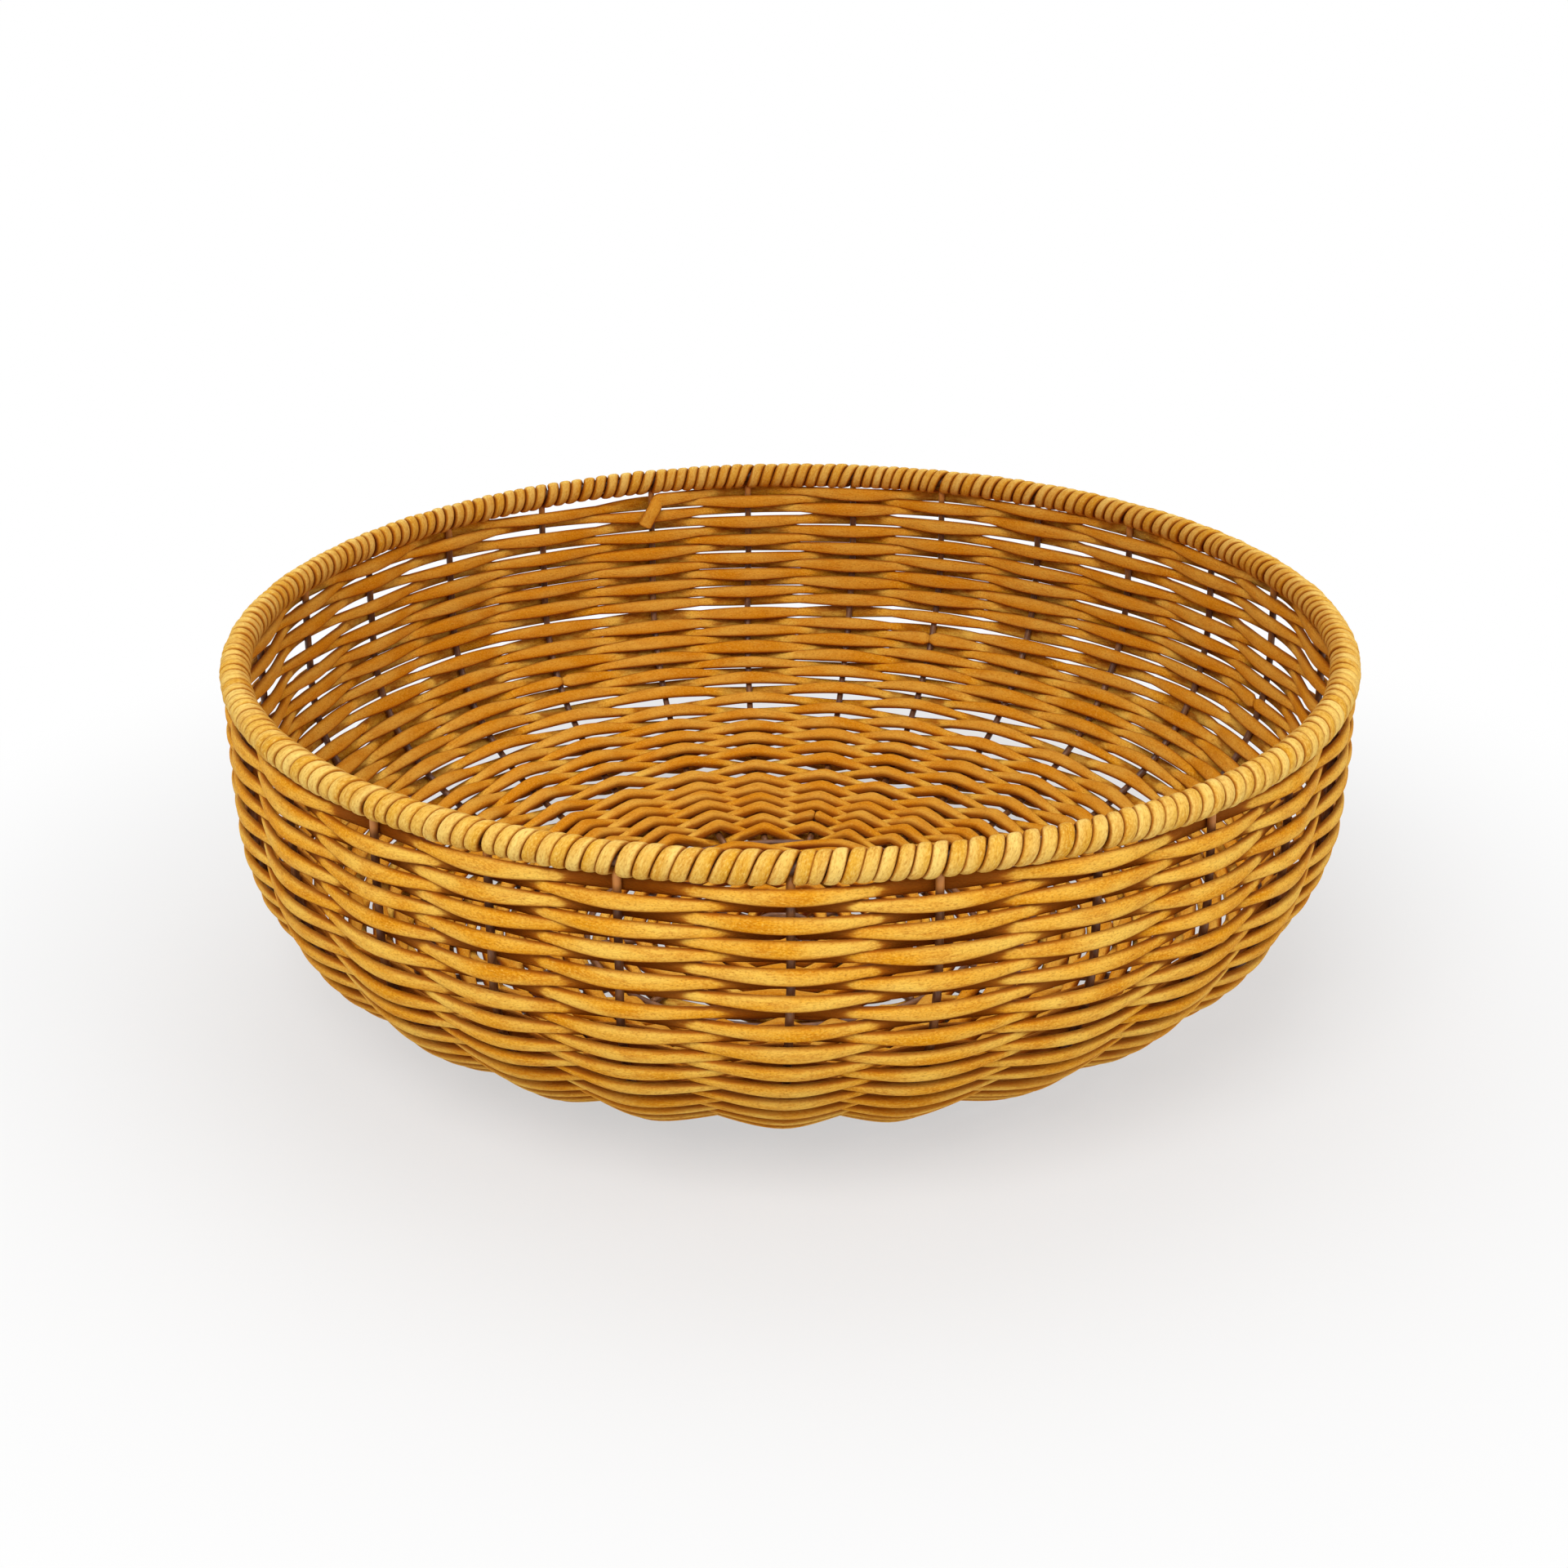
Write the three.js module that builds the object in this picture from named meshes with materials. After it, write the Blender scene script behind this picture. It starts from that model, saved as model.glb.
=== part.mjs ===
// A round draining basket, woven by hand from round strand over wire stakes, with a bound rim.
// Millimetres, +Z up. The origin is on the table under the middle, and the front is towards -Y.
import * as THREE from 'three';

// Rim: a wire hoop and the strand wound round it
const rimRadius = 109.5;
const rimHeight = 72.4;
const hoopWire = 2.6;
const bindingWidth = 6.1;
const bindingCrown = 0.55;
const turnGap = 0.45;
const turnsPerBay = 3;
const stepsPerTurn = 6;

// Wires of the body, on one line from the floor up to the rim. The lip, where they bend out to the hoop, and the
// belly, where the wall is widest, lie in from the hoop and below it.
const wireWidth = 2.2;
const lipInset = 1.1;
const lipDrop = 5.2;
const bellyInset = 0.4;
const bellyDrop = 20.5;
const floorRadius = 42;
const hubRadius = 6;
const stakeCount = 27;
const stakesPerSpoke = 3;
const stakeSteps = 8;
const wireSides = 4;
const downPower = 2.35;
const outPower = 2.15;

// Strand that is woven over and under the wires
const strandThickness = 2.4;
const strandHeight = 2;
const rowPitch = 2.3;
const floorPitch = 2.8;
const floorStart = 12;
const floorRest = 4;
const wallStartStake = 14;
const weaverCount = 12;

// Clearances
const seatGap = 0.3;
const weaveGap = 0.45;
const endGap = 0.4;

// What follows from these sizes
const wireRadius = wireWidth / 2;
const lipRadius = rimRadius - lipInset;
const lipHeight = rimHeight - lipDrop;
const bellyRadius = rimRadius - bellyInset;
const bellyHeight = rimHeight - bellyDrop;
const passOffset = wireRadius + weaveGap + strandThickness / 2;
const floorHeight = passOffset + strandThickness / 2;
const spokeCount = stakeCount / stakesPerSpoke;
const fullTurn = 2 * Math.PI;

const rimMaterial = new THREE.MeshStandardMaterial({ color: 0xdcb05a, roughness: 0.7, metalness: 0 });
const strandMaterial = new THREE.MeshStandardMaterial({ color: 0xd29436, roughness: 0.65, metalness: 0 });
const wireMaterial = new THREE.MeshStandardMaterial({ color: 0x6b452a, roughness: 0.45, metalness: 0.3 });

const basket = new THREE.Group();

function addPiece(name, geometry, material) {
  const mesh = new THREE.Mesh(geometry, material);
  mesh.name = name;
  basket.add(mesh);
}

// A closed solid through sections of equal count, each listed clockwise as seen along the way they follow
function solidThrough(sections) {
  const sides = sections[0].length;
  const last = (sections.length - 1) * sides;
  const faces = [];
  for (let near = 0; near < last; near += sides) {
    for (let side = 0; side < sides; side += 1) {
      const next = (side + 1) % sides;
      faces.push(near + side, near + next, near + sides + next);
      faces.push(near + side, near + sides + next, near + sides + side);
    }
  }
  for (let side = 1; side < sides - 1; side += 1) {
    faces.push(0, side + 1, side);
    faces.push(last, last + side, last + side + 1);
  }
  const geometry = new THREE.BufferGeometry().setFromPoints(sections.flat());
  geometry.setIndex(faces);
  geometry.computeVertexNormals();
  return geometry;
}

// Angle 0 is the front, and angles grow towards +X
function around(radius, angle, height) {
  return new THREE.Vector3(radius * Math.sin(angle), -radius * Math.cos(angle), height);
}

// The round shoulder between the flat floor and the widest place, as radius and height
class Shoulder extends THREE.Curve {
  getPoint(share, target = new THREE.Vector2()) {
    const turn = (1 - share) * fullTurn / 4;
    const out = Math.max(0, Math.cos(turn)) ** (2 / outPower);
    const down = Math.sin(turn) ** (2 / downPower);
    const radius = floorRadius + (bellyRadius - floorRadius) * out;
    return target.set(radius, bellyHeight - (bellyHeight - floorHeight) * down);
  }
}

// The line of the wires, from the middle of the floor to the rim, as radius and height
function wireLine() {
  const middle = new THREE.Vector2(0, floorHeight);
  const floorEdge = new THREE.Vector2(floorRadius, floorHeight);
  const belly = new THREE.Vector2(bellyRadius, bellyHeight);
  const straightUp = new THREE.Vector2(bellyRadius, (bellyHeight + lipHeight) / 2);
  const lip = new THREE.Vector2(lipRadius, lipHeight);
  const line = new THREE.CurvePath();
  line.add(new THREE.LineCurve(middle, floorEdge));
  line.add(new Shoulder());
  line.add(new THREE.QuadraticBezierCurve(belly, straightUp, lip));
  line.add(new THREE.LineCurve(lip, new THREE.Vector2(rimRadius, rimHeight)));
  return line;
}

const smoothLine = wireLine();
const lineLength = smoothLine.getLength();
const lipLength = lineLength - Math.hypot(rimRadius - lipRadius, rimHeight - lipHeight);

// Places along the line where the wires bend: the floor's edge, even steps up the wall, the lip and the rim
function bendPlaces() {
  const places = [0, floorRadius];
  const step = (lipLength - floorRadius) / (stakeSteps - 1);
  for (let bend = 1; bend < stakeSteps; bend += 1) {
    places.push(floorRadius + bend * step);
  }
  places.push(lineLength);
  return places.map((along) => {
    const point = smoothLine.getPoint(along / lineLength);
    const tangent = smoothLine.getTangent(along / lineLength);
    return { along, point, outward: new THREE.Vector2(tangent.y, -tangent.x) };
  });
}

const bends = bendPlaces();

// The bent line at a length along it: its point, and the direction out of the basket there
function onLine(along) {
  let upper = 1;
  while (upper < bends.length - 1 && bends[upper].along < along) {
    upper += 1;
  }
  const low = bends[upper - 1];
  const high = bends[upper];
  const share = (along - low.along) / (high.along - low.along);
  const point = low.point.clone().lerp(high.point, share);
  const outward = low.outward.clone().lerp(high.outward, share).normalize();
  return { point, outward };
}

// A point beside the line: out of the basket by offset and up the wall by rise
function besideLine(along, angle, offset, rise) {
  const { point, outward } = onLine(along);
  const radius = point.x + outward.x * offset - outward.y * rise;
  return around(radius, angle, point.y + outward.y * offset + outward.x * rise);
}

function wireSection(along, angle) {
  const corners = [];
  const { point, outward } = onLine(along);
  const middle = around(point.x, angle, point.y);
  const out = around(outward.x, angle, outward.y);
  const sideways = around(1, angle + fullTurn / 4, 0);
  for (let corner = 0; corner < wireSides; corner += 1) {
    const turn = fullTurn * corner / wireSides;
    corners.push(middle.clone()
      .addScaledVector(out, wireRadius * Math.cos(turn))
      .addScaledVector(sideways, wireRadius * Math.sin(turn)));
  }
  return corners;
}

function wireAlong(from, to, angle) {
  const between = bends.map((bend) => bend.along).filter((along) => along > from && along < to);
  return solidThrough([from, ...between, to].map((along) => wireSection(along, angle)));
}

function wireRing(radius, height, width, sides, steps) {
  const ring = new THREE.TorusGeometry(radius, width / 2, sides, steps);
  ring.translate(0, 0, height);
  return ring;
}

function strandSection(along, angle, offset) {
  const thick = strandThickness / 2;
  const high = strandHeight / 2;
  return [
    besideLine(along, angle, offset + thick, -high),
    besideLine(along, angle, offset - thick, -high),
    besideLine(along, angle, offset - thick, high),
    besideLine(along, angle, offset + thick, high),
  ];
}

// One length of strand, from one pass to another of a spiral that starts at a wire, at a length along it, and
// climbs by a pitch each time round. Even passes are outside. Each rests on its wire for a length, or for none.
function strand(weave, firstPass, lastPass) {
  const sections = [];
  for (let pass = firstPass; pass <= lastPass; pass += 1) {
    const along = weave.start + weave.pitch * pass / weave.wires;
    const angle = fullTurn * (pass + weave.startWire) / weave.wires;
    const offset = pass % 2 === 0 ? passOffset : -passOffset;
    const radius = onLine(along).point.x;
    const rest = weave.rest / radius / 2;
    const butt = endGap / radius / 2;
    const before = pass === firstPass ? butt : -rest;
    const after = pass === lastPass ? -butt : rest;
    sections.push(strandSection(along, angle + before, offset));
    if (after > before) {
      sections.push(strandSection(along, angle + after, offset));
    }
  }
  return solidThrough(sections);
}

// The whole turns that fill the line from start to end, at the pitch nearest above the wanted one
function fittedWeave({ start, end, wantedPitch, ...others }) {
  const turns = Math.floor((end - start) / wantedPitch);
  return { start, pitch: (end - start) / turns, passes: turns * others.wires, ...others };
}

function twoDigits(number) {
  return String(number).padStart(2, '0');
}

function addWires() {
  const ringSteps = 2 * stakeCount;
  addPiece('base_ring', wireRing(floorRadius, floorHeight, wireWidth, wireSides, ringSteps), wireMaterial);
  addPiece('hub_ring', wireRing(hubRadius, floorHeight, wireWidth, wireSides, 2 * spokeCount), wireMaterial);
  const clear = wireRadius + seatGap;
  for (let spoke = 0; spoke < spokeCount; spoke += 1) {
    const angle = fullTurn * spoke / spokeCount;
    addPiece(`spoke_${spoke + 1}`, wireAlong(hubRadius + clear, floorRadius - clear, angle), wireMaterial);
  }
  const top = lineLength - hoopWire / 2 - seatGap;
  for (let stake = 0; stake < stakeCount; stake += 1) {
    const angle = fullTurn * stake / stakeCount;
    addPiece(`stake_${twoDigits(stake + 1)}`, wireAlong(floorRadius + clear, top, angle), wireMaterial);
  }
}

function addWeave() {
  const clear = wireRadius + seatGap + strandHeight / 2;
  const floor = fittedWeave({
    start: floorStart,
    end: floorRadius - clear,
    wantedPitch: floorPitch,
    wires: spokeCount,
    startWire: 0,
    rest: floorRest,
  });
  addPiece('floor_weaver', strand(floor, 1, floor.passes - 1), strandMaterial);
  const wall = fittedWeave({
    start: floorRadius + clear,
    end: lineLength - bindingWidth / 2 - weaveGap - strandHeight / 2,
    wantedPitch: rowPitch,
    wires: stakeCount,
    startWire: wallStartStake,
    rest: 0,
  });
  const passesEach = 2 * Math.ceil(wall.passes / weaverCount / 2);
  for (let length = 0; length < weaverCount; length += 1) {
    const first = 1 + length * passesEach;
    const last = Math.min(first + passesEach, wall.passes);
    addPiece(`weaver_${twoDigits(length + 1)}`, strand(wall, first, last), strandMaterial);
  }
}

// Half of the gap between two turns of the binding, at a count of turns along it. Under the rim the gap at each
// stake opens wide enough to let the stake up to the hoop.
function halfTurnGap(turns) {
  const toStake = turns - turnsPerBay * Math.round(turns / turnsPerBay);
  const opening = Math.abs(toStake) < 1 / stepsPerTurn ? wireRadius + seatGap : 0;
  return turnGap / 2 + opening;
}

function bindingSection(turns) {
  const turnAngle = fullTurn / stakeCount / turnsPerBay;
  const left = turns * turnAngle + halfTurnGap(turns) / rimRadius;
  const right = (turns + 1) * turnAngle - halfTurnGap(turns + 1) / rimRadius;
  const outer = bindingWidth / 2;
  const inner = (hoopWire / 2 + seatGap) / Math.cos(fullTurn / stepsPerTurn / 2);
  const round = fullTurn * (turns - 1 / 4);
  const corner = (angle, reach) => (
    around(rimRadius + reach * Math.cos(round), angle, rimHeight + reach * Math.sin(round))
  );
  return [
    corner(left, inner),
    corner(left, outer - bindingCrown),
    corner((left + right) / 2, outer),
    corner(right, outer - bindingCrown),
    corner(right, inner),
  ];
}

// The least distance between points of the binding that lie more than half a turn apart along it
function leastSelfGap(sections) {
  const apart = stepsPerTurn / 2;
  let least = Infinity;
  for (let first = 0; first < sections.length; first += 1) {
    const end = Math.min(sections.length, first + 2 * stepsPerTurn);
    for (let second = first + apart; second < end; second += 1) {
      for (const a of sections[first]) {
        for (const b of sections[second]) {
          least = Math.min(least, a.distanceTo(b));
        }
      }
    }
  }
  return least;
}

function addRim() {
  addPiece('rim_hoop', wireRing(rimRadius, rimHeight, hoopWire, stepsPerTurn, 2 * stakeCount), wireMaterial);
  const turns = stakeCount * turnsPerBay;
  const start = 1 / stepsPerTurn / 2;
  const endShare = endGap / (fullTurn * hoopWire / 2);
  const sections = [];
  for (let step = 0; step < turns * stepsPerTurn; step += 1) {
    sections.push(bindingSection(start + step / stepsPerTurn));
  }
  sections.push(bindingSection(start + turns - endShare));
  console.log(`least gap of the rim binding to itself: ${leastSelfGap(sections).toFixed(2)} mm`);
  addPiece('rim_binding', solidThrough(sections), rimMaterial);
}

addRim();
addWires();
addWeave();

export default basket;
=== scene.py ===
"""A round draining basket: strand woven over and under wire stakes, with a rim wound in the same strand.

Every strand is drawn at its real pitch, one piece for each length of it, round the line of the wires.
Sizes are in metres. Angle 0 is the front, towards -Y, and angles grow towards +X.
"""

import math

import bpy
import numpy as np
from mathutils import Matrix, Vector


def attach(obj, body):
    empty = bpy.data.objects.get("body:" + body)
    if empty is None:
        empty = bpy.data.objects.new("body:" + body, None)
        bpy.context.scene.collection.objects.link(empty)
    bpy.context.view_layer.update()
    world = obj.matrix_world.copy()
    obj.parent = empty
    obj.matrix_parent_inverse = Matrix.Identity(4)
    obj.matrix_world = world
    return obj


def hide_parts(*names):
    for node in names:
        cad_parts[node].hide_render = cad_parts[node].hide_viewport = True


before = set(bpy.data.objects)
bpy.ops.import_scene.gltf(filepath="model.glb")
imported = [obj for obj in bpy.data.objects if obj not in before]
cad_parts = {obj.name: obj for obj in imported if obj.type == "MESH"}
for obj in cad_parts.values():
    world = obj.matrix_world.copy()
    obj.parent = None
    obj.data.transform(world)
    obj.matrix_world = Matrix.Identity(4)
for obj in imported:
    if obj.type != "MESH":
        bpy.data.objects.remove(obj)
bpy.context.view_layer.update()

MM = 0.001
FULL_TURN = 2 * math.pi

# Rim: the hoop, and the strand wound round it
RIM_RADIUS = 109.5 * MM
RIM_HEIGHT = 72.4 * MM
HOOP_WIRE = 2.6 * MM
BINDING_OUTER = 2.9 * MM
BINDING_INNER = 1.4 * MM
BINDING_TURNS_PER_BAY = 9
BINDING_STEPS = 24
BINDING_SIDES = 16
BINDING_ACROSS_POWER = 0.76
BINDING_DEPTH_POWER = 0.95
BINDING_LEAN_SHARE = 1.0
BINDING_SHARPNESS = 0.82
BINDING_END_TURNS = 0.04
TURN_WIDEST_SHARE = 1.05
TURN_WIDTH_SHARE = 0.02
TURN_LIFT = 0.13 * MM
TURN_SHIFT = 0.12 * MM
OPENING_LEFT = 0.3 * MM
OPENING_RIGHT = 0.8 * MM
OPENING_REACH_TURNS = 0.9

# Line of the wires, from the middle of the floor to the rim
BELLY_RADIUS = 110.3 * MM
BELLY_HEIGHT = 51.9 * MM
LIP_RADIUS = 109.8 * MM
LIP_HEIGHT = 67.2 * MM
FLOOR_RADIUS = 42 * MM
FLOOR_HEIGHT = 3.52 * MM
HUB_RADIUS = 6 * MM
DOWN_POWER = 2.35
OUT_POWER = 2.15
LEAN = 2.0 * MM
LINE_SAMPLES = 1500
SOFT_SAMPLES = 150

# Wires
WIRE_RADIUS = 0.75 * MM
WIRE_SIDES = 12
WIRE_STEPS = 80
RING_STEPS = 240
WIRE_DOME = 0.3 * MM
STAKES = 27
SPOKES = 9
SEAT_GAP = 0.05 * MM
# Length of the lighter tan at the top of each stake under the rim, and of its fade
TAN_TOP_LENGTH = 4 * MM
TAN_TOP_FADE = 2 * MM
# How far stakes stand from their even places, in degrees: at most, and where the photograph shows it
STAKE_SHIFT = 0.6
STAKE_SHIFTS = {1: -0.9, 26: -1.2, 13: -1.7, 14: -1.3, 15: -1.9}

# Strand: its form low on the wall and high on it, and the lengths along the wires where that changes
LOW_OFFSET, HIGH_OFFSET = 2.15 * MM, 1.58 * MM
LOW_THICK, HIGH_THICK = 1.15 * MM, 0.76 * MM
LOW_KINK, HIGH_KINK = 0.99, 0.6
LOW_UNTIL, HIGH_FROM = 75 * MM, 120 * MM
PASS_HIGH = 1.6 * MM
CROSSING_HIGH = 1.1 * MM
STRAND_POWER = 0.8
STRAND_SIDES = 18
STATIONS_PER_PASS = 16
END_GAP = 0.1 * MM
END_DOME = 0.25 * MM
END_LEAST_SHARE = 0.6
PASS_SHARE = 1.04
UNEVEN_PASS_SHARE = 0.06
UNEVEN_THICK_SHARE = 0.03
UNEVEN_HIGH_SHARE = 0.1
TAIL_BAYS = 0.16
TAIL_DROP = 6.0 * MM
TAIL_DROP_POWER = 1.4
TAIL_OFFSET = 3.2 * MM
TAIL_OFFSET_SPEED = 1.8
WEAVERS = 12

# Rows, and how far they stand off their even places
ROW_PITCH = 2.35 * MM
TOP_ROW_DROP = 4.0 * MM
FLOOR_PITCH = 2.5 * MM
FLOOR_START = 9 * MM
WALL_START_STAKE = 16
TURN_JOINS = 0.08
ROW_WAVER = 0.24 * MM
DRIFT_REACH = 0.35 * MM
DRIFT_LENGTHS = 8 * MM, 11 * MM
DRIFT_FROM_SHARE = 0.125
DRIFT_UNTIL_SHARE = 0.05
LOOSE_PITCH = 24 * MM
LOOSE_REACH = 1.0 * MM
LOOSE_SHARPNESS = 0.6
LOOSE_FRONT_SHARE = 0.5
LOOSE_DROP = 18 * MM
LOOSE_DROP_SWING = 8 * MM
LOOSE_DROP_RIPPLE = 1.5 * MM

# Painted shade of the strand, behind its wires and along its edges, and the lengths along the wires where
# rows come out of each other's shade
SHADED_FROM, SHADED_TO = 100 * MM, 122 * MM
OUTER_SHADE_BEHIND_SHARE = 0.62
LOWER_CREASE_SHADE_SHARE = 0.65
UPPER_CREASE_SHADE_SHARE = 0.35
BETWEEN_CREASE_SHADE_SHARE = 0.35
LIT_EDGE_SHARE = 0.4
SHELTERED_SHARE = 0.42
SHADE_BEHIND_SHARE = 0.62
SHADE_BEHIND_FRAY_SHARE = 0.6
SHADE_BEHIND_FROM_TO = 0.3, 1.0
# Painted shade for the turns of the rim, outside and inside the basket
RIM_CREASE_SHADE_SHARES = 0.62, 1.0
RIM_EDGE_SHADE_SHARES = 0.34, 0.46
RIM_EDGE_POWERS = 1.5, 1.0
RIM_INSIDE_SHADE_SHARE = 0.9

# Seeds of the random draws, and how far apart those of the wall's lengths are
STAKE_SHIFT_SEED = 3
TURN_SEEDS = 5, 6, 7
SPOKE_SEED = 10
STAKE_SEED = 20
FLOOR_SEED = 100
WALL_SEED = 200
WALL_SEED_STEP = 10

# Noise over the grain of a piece: how fine, how detailed, how far drawn out, and from which place
TONE = {"scale": 50, "detail": 2, "stretch": (1, 3, 3)}
STREAKS = {"scale": 700, "detail": 2, "stretch": (0.3, 1, 1), "place": (3, 1, 2)}
FIBRE = {"scale": 3200, "detail": 3, "stretch": (0.35, 1, 1), "place": (1, 5, 4)}
MOTTLE = {"scale": 2900, "detail": 4, "stretch": (0.7, 1, 1), "place": (7, 3, 5)}
WORN_PAINT = {"scale": 500, "detail": 4, "stretch": (0.4, 1, 1)}
PAINT_GRAIN = {"scale": 2500, "detail": 3}

# Depths of the relief in the materials
FIBRE_RELIEF = 0.2 * MM
MOTTLE_RELIEF = 0.4 * MM
PAINT_RELIEF = 0.1 * MM

# The photograph's view, worked out from the rim's ellipse and the wall's outline
CAMERA_DISTANCE = 438.8 * MM
CAMERA_RISE = math.radians(20.06)
CAMERA_PITCH = math.radians(24.23)
CAMERA_YAW = math.radians(-0.18)
CAMERA_ROLL = math.radians(0.31)
CAMERA_NEAR = 10 * MM
SENSOR_WIDTH = 36
LENS = 49.6

# Stage
FLOOR_HALF = 4000 * MM
FLOOR_SHADE = 0.65
WHITE_FROM_TO = 100 * MM, 240 * MM
NEAR_WHITE_SHARE = 0.55
WORLD_LIGHT = 0.55
LAMP_AIM = Vector((0, 0, 40 * MM))
# Each lamp's place and width in metres, and its power in watts
LAMPS = {
    "key": ((-0.25, -0.65, 0.8), 0.6, 6.0),
    "fill": ((0.9, -0.5, 0.6), 0.9, 3.4),
    "top": ((0.0, 0.4, 1.2), 0.9, 3.0),
}


def smooth(share):
    """A share from 0 to 1 that starts and ends slowly, and stays at 0 or 1 beyond them."""
    share = np.clip(share, 0, 1)
    return share * share * (3 - 2 * share)


def wander(place, seed):
    """Smooth random values between -1 and 1, with a new one at each whole place."""
    place = np.asarray(place, float)
    values = np.random.default_rng(seed).uniform(-1, 1, int(np.ceil(place.max() - place.min())) + 3)
    place = place - place.min()
    low = np.floor(place).astype(int)
    share = smooth(place - low)
    return values[low] * (1 - share) + values[low + 1] * share


def wire_line():
    """The line of the wires: length along it, radius, height, and the direction out of the basket."""
    turn = np.linspace(FULL_TURN / 4, 0, LINE_SAMPLES)
    shoulder_out = np.cos(turn).clip(0) ** (2 / OUT_POWER)
    shoulder_down = np.sin(turn) ** (2 / DOWN_POWER)
    share = np.linspace(0, 1, LINE_SAMPLES // 5)[1:]
    tuck = share * share
    radius = np.concatenate([
        [0],
        FLOOR_RADIUS + (BELLY_RADIUS - FLOOR_RADIUS) * shoulder_out,
        BELLY_RADIUS + (LIP_RADIUS - BELLY_RADIUS) * tuck,
        LIP_RADIUS + (RIM_RADIUS - LIP_RADIUS) * share,
    ])
    height = np.concatenate([
        [FLOOR_HEIGHT],
        BELLY_HEIGHT - (BELLY_HEIGHT - FLOOR_HEIGHT) * shoulder_down,
        BELLY_HEIGHT + (LIP_HEIGHT - BELLY_HEIGHT) * share,
        LIP_HEIGHT + (RIM_HEIGHT - LIP_HEIGHT) * share,
    ])
    along = np.concatenate([[0], np.cumsum(np.hypot(np.diff(radius), np.diff(height)))])
    even = np.linspace(0, along[-1], 4 * LINE_SAMPLES)
    radius, height = np.interp(even, along, radius), np.interp(even, along, height)
    rise, run = np.gradient(height), np.gradient(radius)
    soft = np.hanning(2 * SOFT_SAMPLES + 1)
    soft = soft / soft.sum()
    rise, run = (np.convolve(np.pad(v, SOFT_SAMPLES, mode="edge"), soft, "valid") for v in (rise, run))
    size = np.hypot(rise, run)
    return even, radius, height, rise / size, -run / size


LINE = wire_line()
LINE_LENGTH = LINE[0][-1]


def around(radius, angle, height):
    """Points round the basket, which leans a little: below its widest place it stands towards -X."""
    lean = LEAN * (1 - height / BELLY_HEIGHT).clip(0)
    return np.stack([radius * np.sin(angle) - lean, -radius * np.cos(angle), height], -1)


def beside_line(along, angle, offset, rise=0.0):
    """Points beside the line of the wires, and the direction out of the basket at each."""
    radius, height, out_r, out_z = (np.interp(along, LINE[0], column) for column in LINE[1:])
    points = around(radius + out_r * offset - out_z * rise, angle, height + out_z * offset + out_r * rise)
    out = np.stack([out_r * np.sin(angle), -out_r * np.cos(angle), out_z], -1)
    return points, out


def stake_angle(place):
    """The angle of a stake by its number, or of a place between two stakes."""
    shift = np.random.default_rng(STAKE_SHIFT_SEED).uniform(-STAKE_SHIFT, STAKE_SHIFT, STAKES)
    shift[0] = 0
    shift[list(STAKE_SHIFTS)] = list(STAKE_SHIFTS.values())
    shift = np.append(shift, shift[0])
    place = np.asarray(place, float)
    even = FULL_TURN * place / STAKES
    return even + np.radians(np.interp(place % STAKES, np.arange(STAKES + 1), shift))


def unit(vectors):
    """The vectors, each made one long."""
    return vectors / np.linalg.norm(vectors, axis=-1, keepdims=True)


def place_object(name, data):
    """A new object in the scene."""
    holder = bpy.data.objects.new(name, data)
    bpy.context.scene.collection.objects.link(holder)
    return holder


def mesh_piece(name, sections, looped=False, **marks):
    """A smooth closed mesh through rings of points, with named values for each of its points."""
    count, sides = sections.shape[:2]
    first = np.arange(count if looped else count - 1)[:, None] * sides
    following = (first + sides) % (count * sides)
    side = np.arange(sides)[None]
    beside = (side + 1) % sides
    corners = (first + side, first + beside, following + beside, following + side)
    faces = np.stack(corners, -1).reshape(-1, 4).tolist()
    if not looped:
        faces += [list(range(sides))[::-1], list(range((count - 1) * sides, count * sides))]
    mesh = bpy.data.meshes.new(name)
    mesh.from_pydata(sections.reshape(-1, 3).tolist(), [], faces)
    for mark, values in marks.items():
        values = np.asarray(values, np.float32)
        kind, slot = ("FLOAT_VECTOR", "vector") if values.ndim == 3 else ("FLOAT", "value")
        mesh.attributes.new(mark, kind, "POINT").data.foreach_set(slot, values.reshape(-1))
    mesh.polygons.foreach_set("use_smooth", [True] * len(faces))
    mesh.validate()
    return place_object(name, mesh)


def squared_ring(sides, power=1.0):
    """Both places of each point of a ring, from -1 to 1: a circle at power 1, squarer with less."""
    turn = FULL_TURN * np.arange(sides) / sides
    return [np.sign(v) * np.abs(v) ** power for v in (np.cos(turn), np.sin(turn))]


def tube_sections(centres, out, thick, high, sides, power=1.0):
    """Rings of points square to the way through the centres, thick out of the basket and high along it,
    and the places of their points in both directions."""
    way = unit(np.gradient(centres, axis=0))
    out = unit(out - (out * way).sum(-1, keepdims=True) * way)
    up = np.cross(way, out)
    depth, rise = squared_ring(sides, power)
    outward = out[:, None] * (thick[:, None] * depth)[..., None]
    upward = up[:, None] * (high[:, None] * rise)[..., None]
    return centres[:, None] + outward + upward, depth, rise


def round_ends(thick, high, centres, reach):
    """Shrinks both ends of a tube to a dome over a length."""
    along = np.concatenate([[0], np.cumsum(np.linalg.norm(np.diff(centres, axis=0), axis=1))])
    from_end = np.minimum(along, along[-1] - along)
    dome = np.sqrt(1 - (1 - (from_end / reach).clip(0, 1)) ** 2).clip(END_LEAST_SHARE)
    return thick * dome, high * dome, along


def steep_wave(turn, sharpness):
    """A wave that rises steeply at each whole turn and falls slowly between them."""
    return np.arctan2(sharpness * np.sin(turn), 1 - sharpness * np.cos(turn))


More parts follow.
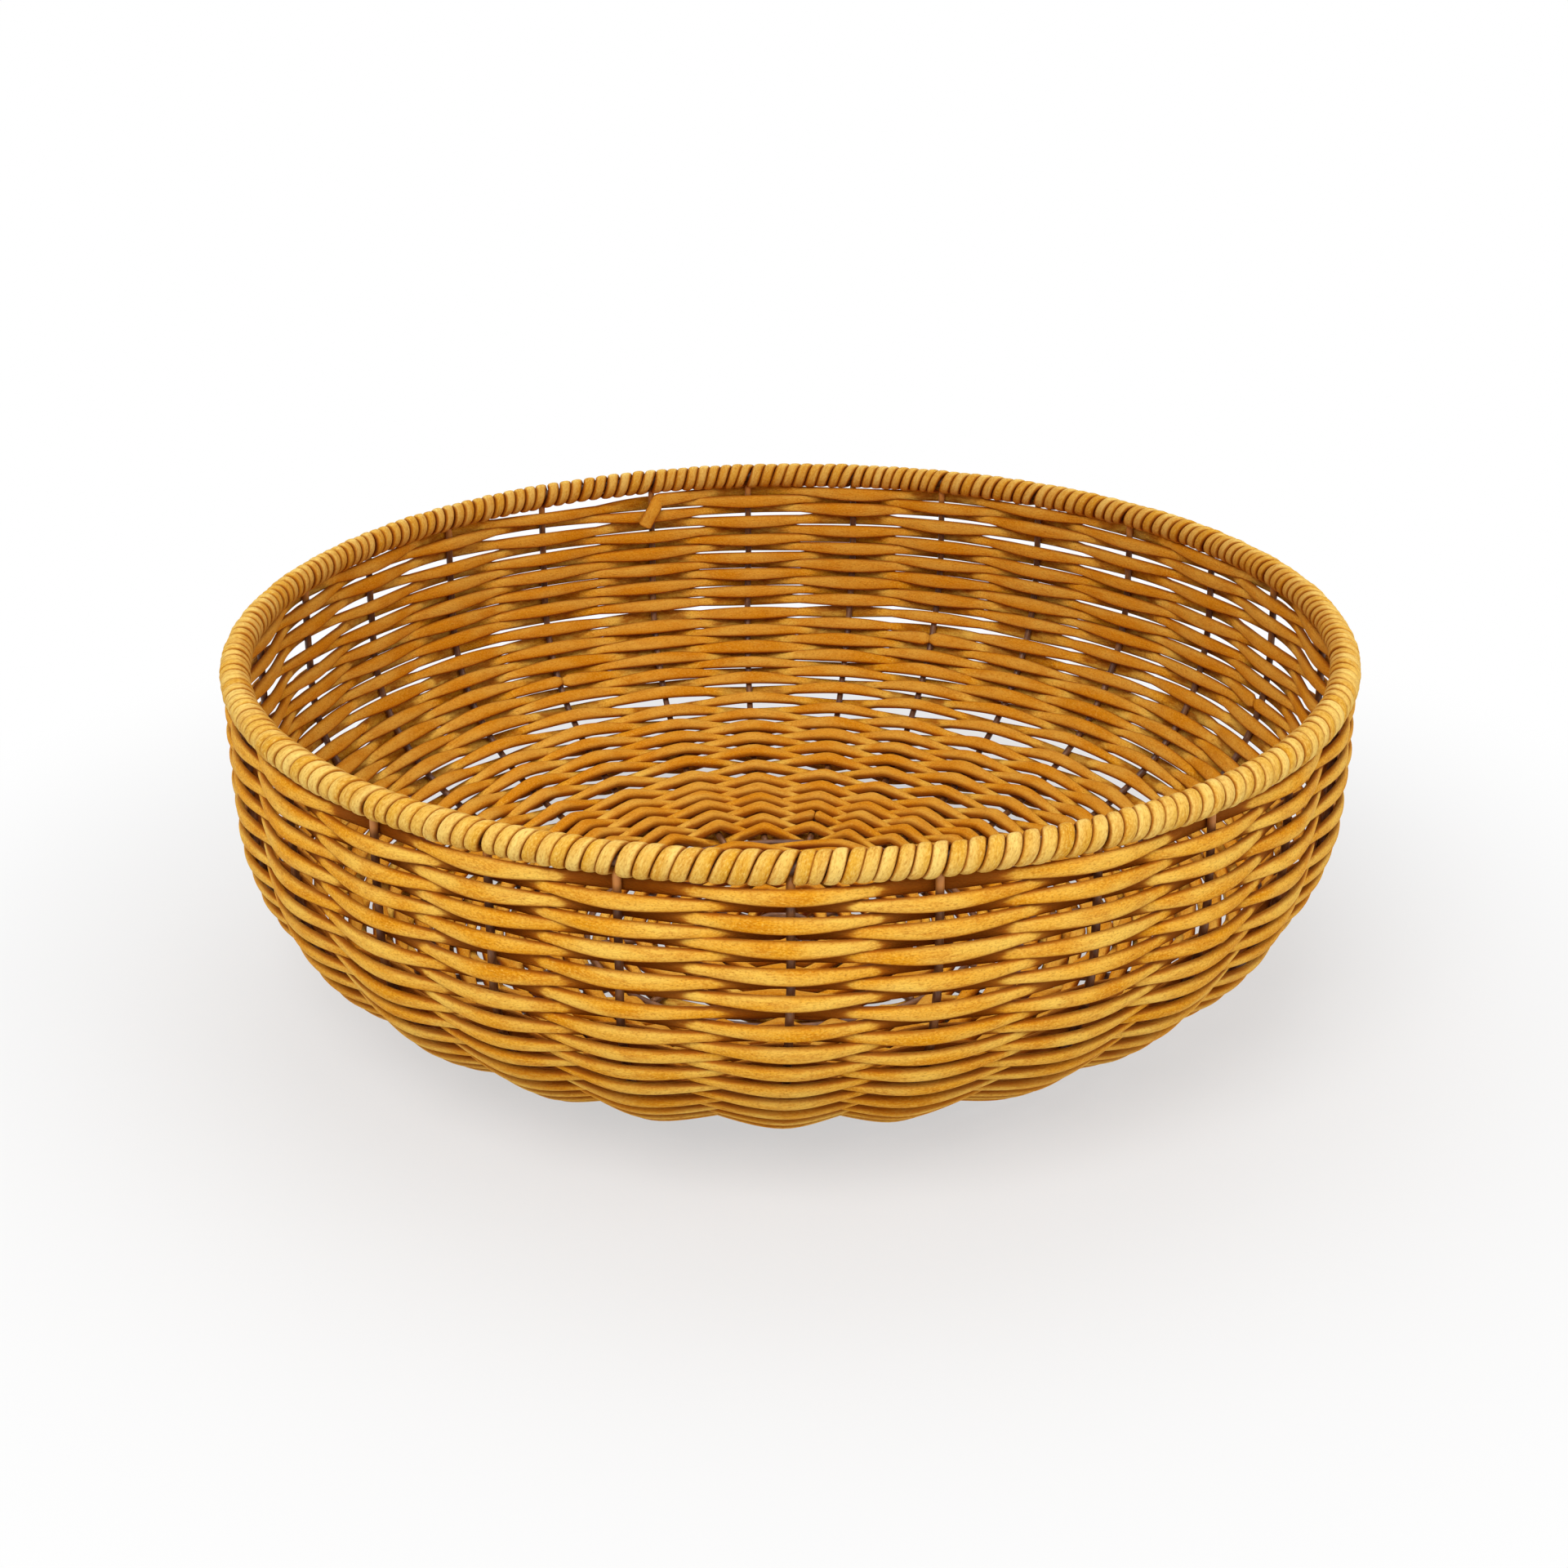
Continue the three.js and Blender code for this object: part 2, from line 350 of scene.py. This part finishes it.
def row_drift(weave, passes, along, angle):
    """How far rows stand off their even places. The first and last turns follow their borders."""
    rising_length, falling_length = DRIFT_LENGTHS
    rising = np.sin(3 * angle + along / rising_length + 1)
    falling = np.sin(5 * angle - along / falling_length)
    drift = DRIFT_REACH * rising * falling
    loose_drop = LOOSE_DROP + LOOSE_DROP_SWING * np.cos(angle) + LOOSE_DROP_RIPPLE * np.sin(3 * angle)
    loose_turn = FULL_TURN * (along - LINE_LENGTH + loose_drop) / LOOSE_PITCH
    loose_reach = LOOSE_REACH * (1 - (1 - LOOSE_FRONT_SHARE) * (1 + np.cos(angle)) / 2)
    drift += loose_reach * steep_wave(loose_turn, LOOSE_SHARPNESS)
    turn = 1 - (weave["passes"] - 1 - passes) / weave["wires"] % 1
    share = (along - weave["start"]) / (weave["end"] - weave["start"])
    to_end = (1 - turn) * smooth(turn / TURN_JOINS) * share
    to_start = turn * smooth((1 - turn) / TURN_JOINS) * (1 - share)
    drift *= smooth(share / DRIFT_FROM_SHARE)
    drift = np.minimum(drift, drift * smooth((1 - share) / DRIFT_UNTIL_SHARE))
    return drift + weave["pitch"] * (to_end - to_start)


def strand_shades(weave, along, swing, depth, rise):
    """Painted shade on a strand: how dark it is where it dips behind its wires, and how dark along its
    edges.
    Low on the wall its upper side gets painted shade from the row above, and its lower edge less, as if
    lit."""
    swing = swing[:, None]
    # Painted shade where the strand lies behind its wires, less on the inner faces of outer passes
    behind = swing * (-1.6 * depth).clip(-1, 1) + 0.35 * rise ** 2
    buried = (2 * behind).clip(0, 1) * np.where(swing < 0, 1, OUTER_SHADE_BEHIND_SHARE)
    # Painted shade along the edges, stronger where rows cross; low on the wall the lower edge keeps less
    # of it, as if lit, and the upper side gets painted shade from the row above
    between = BETWEEN_CREASE_SHADE_SHARE * (1 - np.abs(swing))
    on_wall = weave["wires"] == STAKES
    below = on_wall * smooth((SHADED_TO - along) / (SHADED_TO - SHADED_FROM))[:, None]
    lower = (LOWER_CREASE_SHADE_SHARE + between) * (1 - LIT_EDGE_SHARE * below) * rise.clip(0) ** 4
    upper = (UPPER_CREASE_SHADE_SHARE + between) * (-rise).clip(0) ** 4
    sheltered = SHELTERED_SHARE * below * smooth((0.1 - rise) / 1.1) ** 2 * smooth((depth + 0.5) / 0.8)
    return buried, np.maximum(lower + upper, sheltered)


def strand_piece(name, weave, first_pass, last_pass, seed, tail=False):
    """One length of strand, from one pass to another of a spiral over and under the wires.
    A tail turns down over the rows inside the basket."""
    passes = np.linspace(first_pass, last_pass, (last_pass - first_pass) * STATIONS_PER_PASS + 1)
    if tail:
        passes = passes[:-1]
    along = weave["start"] + weave["pitch"] * passes / weave["wires"]
    bay = FULL_TURN / weave["wires"] * np.interp(along, LINE[0], LINE[1])
    trim = END_GAP / 2 / bay
    place = (passes + weave["start_wire"] + np.maximum(0, trim - (passes - first_pass))
             - np.maximum(0, trim - (last_pass - passes)))
    angle = stake_angle(place * STAKES / weave["wires"])
    kink, reach, thick = (np.interp(along, (LOW_UNTIL, HIGH_FROM), pair) for pair in (
        (LOW_KINK, HIGH_KINK), (LOW_OFFSET, HIGH_OFFSET), (LOW_THICK, HIGH_THICK)))
    swing = np.arcsin(kink * np.cos(math.pi * passes)) / np.arcsin(kink)
    at_pass = np.abs(np.cos(math.pi * passes))
    offset = reach * swing * (PASS_SHARE + UNEVEN_PASS_SHARE * wander(passes, seed))
    along = along + row_drift(weave, passes, along, angle) + ROW_WAVER * wander(passes / 1.3, seed + 1)
    thick = thick * (1 + UNEVEN_THICK_SHARE * wander(passes * 1.3, seed + 2))
    high = CROSSING_HIGH + (PASS_HIGH - CROSSING_HIGH) * at_pass
    high = high * (1 + UNEVEN_HIGH_SHARE * wander(passes * 1.1, seed + 3))
    under_rim = LINE_LENGTH - np.sqrt((BINDING_OUTER + high) ** 2 - offset ** 2)
    along = np.minimum(along, under_rim)
    if tail:
        share = np.linspace(0, 1, 2 * STATIONS_PER_PASS + 1)[1:]
        angle = np.append(angle, stake_angle(place[-1] + TAIL_BAYS * share))
        along = np.append(along, along[-1] - TAIL_DROP * share ** TAIL_DROP_POWER)
        inward = smooth(TAIL_OFFSET_SPEED * share)
        offset = np.append(offset, offset[-1] - (TAIL_OFFSET + offset[-1]) * inward)
        reach, thick, high = (np.append(v, np.full(len(share), v[-1])) for v in (reach, thick, high))
        swing = np.append(swing, np.full(len(share), -1.0))
    centres, out = beside_line(along, angle, offset)
    thick, high, length = round_ends(thick, high, centres, END_DOME)
    sections, depth, rise = tube_sections(centres, out, thick, high, STRAND_SIDES, STRAND_POWER)
    grain = np.stack(np.broadcast_arrays(
        length[:, None] + seed,
        thick[:, None] * depth,
        high[:, None] * rise,
    ), -1)
    # About 0 where a pass lies outside the wires, and about 1 where it lies inside them: how much painted
    # shade of the inside it gets
    inward = 0.5 - 0.5 * (offset + thick * 0.3)[:, None] / reach[:, None] - 0.2 * depth
    buried, crease = strand_shades(weave, along, swing, depth, rise)
    return mesh_piece(name, sections, grain=grain, inward=inward, buried=buried, crease=crease)


def fitted_weave(start, end, wanted_pitch, wires, start_wire):
    """A spiral with an even number of turns between two places on the line of the wires."""
    turns = 2 * round((end - start) / wanted_pitch / 2)
    return {"start": start, "end": end, "pitch": (end - start) / turns, "wires": wires,
            "start_wire": start_wire, "passes": turns * wires}


def wire_piece(name, start, end, angle, seed):
    """A wire from one length along the line to another, a lighter tan at its top under the rim."""
    along = np.linspace(start, end, WIRE_STEPS)
    centres, out = beside_line(along, np.full(len(along), angle), 0.0)
    even = np.full(len(along), WIRE_RADIUS)
    thick, high, length = round_ends(even, even, centres, WIRE_DOME)
    sections, depth, rise = tube_sections(centres, out, thick, high, WIRE_SIDES)
    grain = np.stack(np.broadcast_arrays(
        length[:, None] + seed, thick[:, None] * depth, high[:, None] * rise), -1)
    bare = smooth(1 - (LINE_LENGTH - along - TAN_TOP_LENGTH) / TAN_TOP_FADE)
    return mesh_piece(name, sections, grain=grain, bare=np.broadcast_to(bare[:, None], grain.shape[:2]))


def ring_piece(name, radius, height, wire_radius, seed):
    """A closed ring of wire round the basket."""
    angle = FULL_TURN * np.arange(RING_STEPS)[:, None] / RING_STEPS
    depth, rise = (wire_radius * v for v in squared_ring(WIRE_SIDES))
    sections = around(radius + depth, angle, np.broadcast_to(height + rise, (RING_STEPS, WIRE_SIDES)))
    grain = np.stack(np.broadcast_arrays(radius * angle + seed, depth, rise), -1)
    return mesh_piece(name, sections[:, ::-1], looped=True, grain=grain[:, ::-1])


def binding_angle(turns):
    """The angle round the basket of the middle of the binding, at a count of turns along it.
    Under the rim, the turns make room for each stake."""
    to_stake = turns - BINDING_TURNS_PER_BAY * np.round(turns / BINDING_TURNS_PER_BAY)
    low = 1 - 2 * np.abs(turns - np.round(turns))
    open_right = OPENING_RIGHT * np.exp(-to_stake.clip(0) / OPENING_REACH_TURNS)
    open_left = -OPENING_LEFT * np.exp(-(-to_stake).clip(0) / OPENING_REACH_TURNS)
    push = np.where(to_stake > -0.5, open_right, open_left) * low
    lean = -BINDING_LEAN_SHARE / math.pi * steep_wave(FULL_TURN * turns, BINDING_SHARPNESS)
    return stake_angle((turns + 0.5 + lean) / BINDING_TURNS_PER_BAY) + push / RIM_RADIUS


def rim_binding():
    """The strand wound round the hoop, from the bottom of one turn to the bottom of the next.
    Its turns carry painted shade towards the inside of the basket, and in the creases between them."""
    width_seed, lift_seed, shift_seed = TURN_SEEDS
    turns_in_all = STAKES * BINDING_TURNS_PER_BAY
    turns = np.linspace(0, turns_in_all - BINDING_END_TURNS, turns_in_all * BINDING_STEPS + 1)
    angle = binding_angle(turns)
    room = np.minimum(binding_angle(turns + 1) - angle, angle - binding_angle(turns - 1))
    widest = FULL_TURN / turns_in_all * TURN_WIDEST_SHARE
    uneven = 1 + TURN_WIDTH_SHARE * wander(turns * 1.3, width_seed)
    half = np.minimum(room, widest) * RIM_RADIUS / 2 * uneven
    round_angle = FULL_TURN * (turns - 1 / 4)
    lift = TURN_LIFT * wander(turns * 1.7, lift_seed)
    angle = angle + TURN_SHIFT / RIM_RADIUS * wander(turns * 2.3, shift_seed)
    across = squared_ring(BINDING_SIDES, BINDING_ACROSS_POWER)[0]
    depth = squared_ring(BINDING_SIDES, BINDING_DEPTH_POWER)[1]
    middle = (BINDING_OUTER + BINDING_INNER) / 2
    deep = (BINDING_OUTER - BINDING_INNER) / 2
    reach = middle + lift[:, None] + deep * depth
    spread = angle[:, None] + half[:, None] * across / RIM_RADIUS
    sections = around(RIM_RADIUS + reach * np.cos(round_angle)[:, None], spread,
                      RIM_HEIGHT + reach * np.sin(round_angle)[:, None])
    length = turns * FULL_TURN * middle
    grain = np.stack(np.broadcast_arrays(length[:, None], deep * depth, half[:, None] * across), -1)
    # Painted shade over the inside of the basket, and in the creases between turns, broader and softer
    # inside
    inside = smooth(0.35 - 0.9 * np.cos(round_angle))[:, None]
    darkest, edge, power = (outer + (inner - outer) * inside for outer, inner in (
        RIM_CREASE_SHADE_SHARES, RIM_EDGE_SHADE_SHARES, RIM_EDGE_POWERS))
    crease = darkest * ((np.abs(across) - 1 + edge) / edge).clip(0) ** power
    inward = np.broadcast_to(RIM_INSIDE_SHADE_SHARE * inside, spread.shape)
    return mesh_piece("rim_strand", sections, grain=grain, inward=inward, crease=crease)


def node_tree(name):
    """A new material, with its node tree and its shader."""
    material = bpy.data.materials.new(name)
    material.use_nodes = True
    tree = material.node_tree
    return material, tree, tree.nodes["Principled BSDF"]


def add(tree, kind, **values):
    """A node with its properties and its inputs set by name."""
    node = tree.nodes.new(kind)
    for key, value in values.items():
        if hasattr(node, key):
            setattr(node, key, value)
        else:
            node.inputs[key.replace("_", " ")].default_value = value
    return node


def noise(tree, vector, scale, detail, stretch=(1, 1, 1), place=(0, 0, 0)):
    """Noise over the grain of a piece, drawn out or pressed together along its three directions."""
    mapping = tree.nodes.new("ShaderNodeMapping")
    mapping.inputs["Scale"].default_value = stretch
    mapping.inputs["Location"].default_value = place
    tree.links.new(vector, mapping.inputs["Vector"])
    texture = add(tree, "ShaderNodeTexNoise", Scale=scale, Detail=detail, Roughness=0.6)
    tree.links.new(mapping.outputs["Vector"], texture.inputs["Vector"])
    return texture.outputs["Fac"]


def marked(tree, name):
    """A value that the points of a mesh carry under a name."""
    return add(tree, "ShaderNodeAttribute", attribute_name=name).outputs["Fac"]


def grain_place(tree):
    """The place in a strand or wire: along it, out of the basket and up from its middle."""
    return add(tree, "ShaderNodeAttribute", attribute_name="grain").outputs["Vector"]


def ramp(tree, value, low, high):
    """A value turned into a share: 0 up to low, 1 from high on, and smooth between them."""
    node = add(tree, "ShaderNodeMapRange", interpolation_type="SMOOTHSTEP")
    node.inputs["From Min"].default_value = low
    node.inputs["From Max"].default_value = high
    tree.links.new(value, node.inputs["Value"])
    return node.outputs["Result"]


def frayed(tree, value, texture, reach, low, high):
    """A ramp of a value, whose edge a noise moves to and fro."""
    node = add(tree, "ShaderNodeMath", operation="MULTIPLY_ADD")
    tree.links.new(texture, node.inputs[0])
    node.inputs[1].default_value = reach
    tree.links.new(value, node.inputs[2])
    return ramp(tree, node.outputs[0], low + reach / 2, high + reach / 2)


def scaled(tree, value, factor):
    """A value times a factor."""
    node = add(tree, "ShaderNodeMath", operation="MULTIPLY")
    tree.links.new(value, node.inputs[0])
    node.inputs[1].default_value = factor
    return node.outputs[0]


def larger(tree, first, second):
    """The larger of two values."""
    node = add(tree, "ShaderNodeMath", operation="MAXIMUM")
    tree.links.new(first, node.inputs[0])
    tree.links.new(second, node.inputs[1])
    return node.outputs[0]


def blended(tree, factor, below, above):
    """One colour over another by a factor. Each colour is a tuple or the output of a node."""
    node = add(tree, "ShaderNodeMix", data_type="RGBA")
    tree.links.new(factor, node.inputs["Factor"])
    for socket, colour in ((node.inputs[6], below), (node.inputs[7], above)):
        if isinstance(colour, tuple):
            socket.default_value = (*colour, 1)
        else:
            tree.links.new(colour, socket)
    return node.outputs[2]


def linear(red, green, blue):
    """A colour as it is seen, 0 to 255, in the values that a shader takes."""
    shares = [channel / 255 for channel in (red, green, blue)]
    return tuple(s / 12.92 if s <= 0.04045 else ((s + 0.055) / 1.055) ** 2.4 for s in shares)


def set_roughness(tree, shader, texture, least, most):
    """Roughness between two values, after a noise."""
    rough = add(tree, "ShaderNodeMapRange")
    rough.inputs["To Min"].default_value = least
    rough.inputs["To Max"].default_value = most
    tree.links.new(texture, rough.inputs["Value"])
    tree.links.new(rough.outputs["Result"], shader.inputs["Roughness"])


def set_relief(tree, shader, *layers):
    """Fine relief from noise, one layer over another. Each layer has its noise, strength and depth."""
    below = None
    for texture, strength, depth in layers:
        bump = add(tree, "ShaderNodeBump", Strength=strength, Distance=depth)
        tree.links.new(texture, bump.inputs["Height"])
        if below:
            tree.links.new(below, bump.inputs["Normal"])
        below = bump.outputs["Normal"]
    tree.links.new(below, shader.inputs["Normal"])


def strand_material(name, pale, middle, deep, fibre_and_shade_colour, crease_colour, inside_shade_colour):
    """Matt strand: long fibres, slow changes of tone and small marks, with painted shade in its creases,
    behind its wires and towards the inside of the basket.
    """
    material, tree, shader = node_tree(name)
    place = grain_place(tree)
    tone, streaks, fibre, mottle = (noise(tree, place, **kind) for kind in (TONE, STREAKS, FIBRE, MOTTLE))
    colour = blended(tree, ramp(tree, tone, 0.32, 0.68), middle, pale)
    # Each layer's colour, the value that brings it out, where it begins and is full, and its share
    layers = (
        (deep, streaks, 0.42, 0.68, 0.4),
        (pale, mottle, 0.48, 0.7, 0.6),
        (fibre_and_shade_colour, mottle, 0.5, 0.28, 0.45),
        (fibre_and_shade_colour, fibre, 0.52, 0.28, 0.3),
        # Painted shade towards the inside of the basket
        (inside_shade_colour, marked(tree, "inward"), 0.35, 0.9, 0.45),
    )
    for over, value, low, high, share in layers:
        colour = blended(tree, scaled(tree, ramp(tree, value, low, high), share), colour, over)
    # Painted shade behind the wires and in the creases: darker first towards the fibre colour, then
    # towards the crease colour
    buried = frayed(tree, marked(tree, "buried"), streaks, SHADE_BEHIND_FRAY_SHARE, *SHADE_BEHIND_FROM_TO)
    dark = larger(tree, scaled(tree, buried, SHADE_BEHIND_SHARE), marked(tree, "crease"))
    colour = blended(tree, scaled(tree, ramp(tree, dark, 0, 0.5), 0.85), colour, fibre_and_shade_colour)
    colour = blended(tree, ramp(tree, dark, 0.3, 1.0), colour, crease_colour)
    tree.links.new(colour, shader.inputs["Base Color"])
    shader.inputs["Specular IOR Level"].default_value = 0.07
    set_roughness(tree, shader, mottle, 0.55, 0.8)
    set_relief(tree, shader, (fibre, 0.7, FIBRE_RELIEF), (mottle, 0.6, MOTTLE_RELIEF))
    return material


def wire_material():
    """Brown paint, worn a little, and a lighter tan at the tops of the stakes under the rim."""
    material, tree, shader = node_tree("painted_wire")
    place = grain_place(tree)
    worn, fine = (noise(tree, place, **kind) for kind in (WORN_PAINT, PAINT_GRAIN))
    colour = blended(tree, ramp(tree, worn, 0.4, 0.7), linear(88, 50, 26), linear(140, 92, 52))
    colour = blended(tree, marked(tree, "bare"), colour, linear(190, 122, 52))
    tree.links.new(colour, shader.inputs["Base Color"])
    set_roughness(tree, shader, fine, 0.35, 0.55)
    set_relief(tree, shader, (fine, 0.3, PAINT_RELIEF))
    return material


def dress(piece, material, slot, *nodes):
    """Gives a piece its material and its body, and hides the solids that it stands for. Its slot is not
    used.
    """
    piece.data.materials.append(material)
    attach(piece, "root")
    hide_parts(*nodes)


def build_wires(material):
    """The hoop, the two rings of the floor, the spokes and the stakes."""
    clear = WIRE_RADIUS + SEAT_GAP
    rings = (
        ("hoop_wire", RIM_RADIUS, RIM_HEIGHT, HOOP_WIRE / 2, "rim_hoop"),
        ("floor_edge_wire", FLOOR_RADIUS, FLOOR_HEIGHT, WIRE_RADIUS, "base_ring"),
        ("floor_hub_wire", HUB_RADIUS, FLOOR_HEIGHT, WIRE_RADIUS, "hub_ring"),
    )
    for seed, (name, radius, height, wire_radius, node) in enumerate(rings):
        dress(ring_piece(name, radius, height, wire_radius, seed), material, "wire", node)
    for spoke in range(SPOKES):
        piece = wire_piece(f"floor_wire_{spoke + 1}", HUB_RADIUS + clear, FLOOR_RADIUS - clear,
                           stake_angle(spoke * STAKES / SPOKES), SPOKE_SEED + spoke)
        dress(piece, material, "wire", f"spoke_{spoke + 1}")
    for stake in range(STAKES):
        piece = wire_piece(f"stake_wire_{stake + 1:02d}", FLOOR_RADIUS + clear,
                           LINE_LENGTH - HOOP_WIRE / 2 - SEAT_GAP, stake_angle(stake), STAKE_SEED + stake)
        dress(piece, material, "wire", f"stake_{stake + 1:02d}")


def build_weave(material):
    """The strand of the floor, and that of the wall in its lengths."""
    clear = WIRE_RADIUS + SEAT_GAP + PASS_HIGH
    floor = fitted_weave(FLOOR_START, FLOOR_RADIUS - clear, FLOOR_PITCH, SPOKES, 0)
    piece = strand_piece("floor_strand", floor, 1, floor["passes"] - 1, FLOOR_SEED)
    dress(piece, material, "weave_strand", "floor_weaver")
    top = LINE_LENGTH - TOP_ROW_DROP
    wall = fitted_weave(FLOOR_RADIUS + clear, top, ROW_PITCH, STAKES, WALL_START_STAKE)
    passes_each = 2 * math.ceil(wall["passes"] / WEAVERS / 2)
    for length in range(WEAVERS):
        first = 1 + length * passes_each
        last = min(first + passes_each, wall["passes"] - 1)
        piece = strand_piece(f"wall_strand_{length + 1:02d}", wall, first, last,
                             WALL_SEED + WALL_SEED_STEP * length, tail=length == WEAVERS - 1)
        dress(piece, material, "weave_strand", f"weaver_{length + 1:02d}")


def seen_directly(tree):
    """1 for what the camera sees straight, or in or through another piece, and else 0."""
    rays = tree.nodes.new("ShaderNodeLightPath").outputs
    mirrored_or_through = larger(tree, rays["Is Glossy Ray"], rays["Is Transmission Ray"])
    return larger(tree, rays["Is Camera Ray"], mirrored_or_through)


def build_camera():
    """The camera, in front of the basket and above it."""
    camera = place_object("camera", bpy.data.cameras.new("camera"))
    camera.data.sensor_width = SENSOR_WIDTH
    camera.data.lens = LENS
    camera.data.clip_start = CAMERA_NEAR
    place = Vector((0, -CAMERA_DISTANCE * math.cos(CAMERA_RISE),
                    RIM_HEIGHT + CAMERA_DISTANCE * math.sin(CAMERA_RISE)))
    camera.matrix_world = (
        Matrix.Translation(place) @ Matrix.Rotation(-CAMERA_YAW, 4, "Z")
        @ Matrix.Rotation(FULL_TURN / 4 - CAMERA_PITCH, 4, "X") @ Matrix.Rotation(-CAMERA_ROLL, 4, "Z"))
    bpy.context.scene.camera = camera


def build_floor():
    """A pale floor that shades into a white background."""
    mesh = bpy.data.meshes.new("floor")
    corners = [(FLOOR_HALF * x, FLOOR_HALF * y, 0) for x, y in ((-1, -1), (1, -1), (1, 1), (-1, 1))]
    mesh.from_pydata(corners, [], [(0, 1, 2, 3)])
    material, tree, shader = node_tree("floor")
    shader.inputs["Base Color"].default_value = (FLOOR_SHADE, FLOOR_SHADE, FLOOR_SHADE, 1)
    shader.inputs["Roughness"].default_value = 0.9
    place = tree.nodes.new("ShaderNodeTexCoord").outputs["Object"]
    far = add(tree, "ShaderNodeVectorMath", operation="LENGTH")
    tree.links.new(place, far.inputs[0])
    white = add(tree, "ShaderNodeMapRange")
    white.inputs["To Min"].default_value = NEAR_WHITE_SHARE
    tree.links.new(ramp(tree, far.outputs["Value"], *WHITE_FROM_TO), white.inputs["Value"])
    seen_white = add(tree, "ShaderNodeMath", operation="MULTIPLY")
    tree.links.new(seen_directly(tree), seen_white.inputs[0])
    tree.links.new(white.outputs["Result"], seen_white.inputs[1])
    glow = add(tree, "ShaderNodeEmission", Strength=1.0)
    mix = add(tree, "ShaderNodeMixShader")
    tree.links.new(seen_white.outputs[0], mix.inputs["Fac"])
    tree.links.new(shader.outputs["BSDF"], mix.inputs[1])
    tree.links.new(glow.outputs["Emission"], mix.inputs[2])
    tree.links.new(mix.outputs["Shader"], tree.nodes["Material Output"].inputs["Surface"])
    mesh.materials.append(material)
    place_object("floor", mesh)


def build_light():
    """A white world that shines softly, and three lamps."""
    world = bpy.data.worlds.new("studio")
    bpy.context.scene.world = world
    world.use_nodes = True
    tree = world.node_tree
    strength = add(tree, "ShaderNodeMapRange")
    strength.inputs["To Min"].default_value = WORLD_LIGHT
    tree.links.new(seen_directly(tree), strength.inputs["Value"])
    tree.links.new(strength.outputs["Result"], tree.nodes["Background"].inputs["Strength"])
    tree.nodes["Background"].inputs["Color"].default_value = (1, 1, 1, 1)
    for name, (place, size, power) in LAMPS.items():
        lamp = bpy.data.lights.new(name, "AREA")
        lamp.shape = "DISK"
        lamp.size = size
        lamp.energy = power
        holder = place_object(name, lamp)
        holder.location = place
        holder.rotation_euler = (LAMP_AIM - Vector(place)).to_track_quat("-Z", "Y").to_euler()


build_camera()
wall_strand = strand_material(
    "wall_strand", pale=linear(247, 198, 86), middle=linear(230, 154, 18), deep=linear(204, 118, 4),
    fibre_and_shade_colour=linear(160, 80, 2), crease_colour=linear(100, 32, 2), inside_shade_colour=linear(194, 114, 12))
rim_strand = strand_material(
    "rim_strand", pale=linear(245, 209, 116), middle=linear(222, 163, 46), deep=linear(200, 126, 14),
    fibre_and_shade_colour=linear(172, 98, 6), crease_colour=linear(124, 54, 0), inside_shade_colour=linear(176, 104, 8))
build_wires(wire_material())
build_weave(wall_strand)
dress(rim_binding(), rim_strand, "rim_strand", "rim_binding")
build_floor()
build_light()

scene = bpy.context.scene
scene.view_settings.view_transform = "Standard"
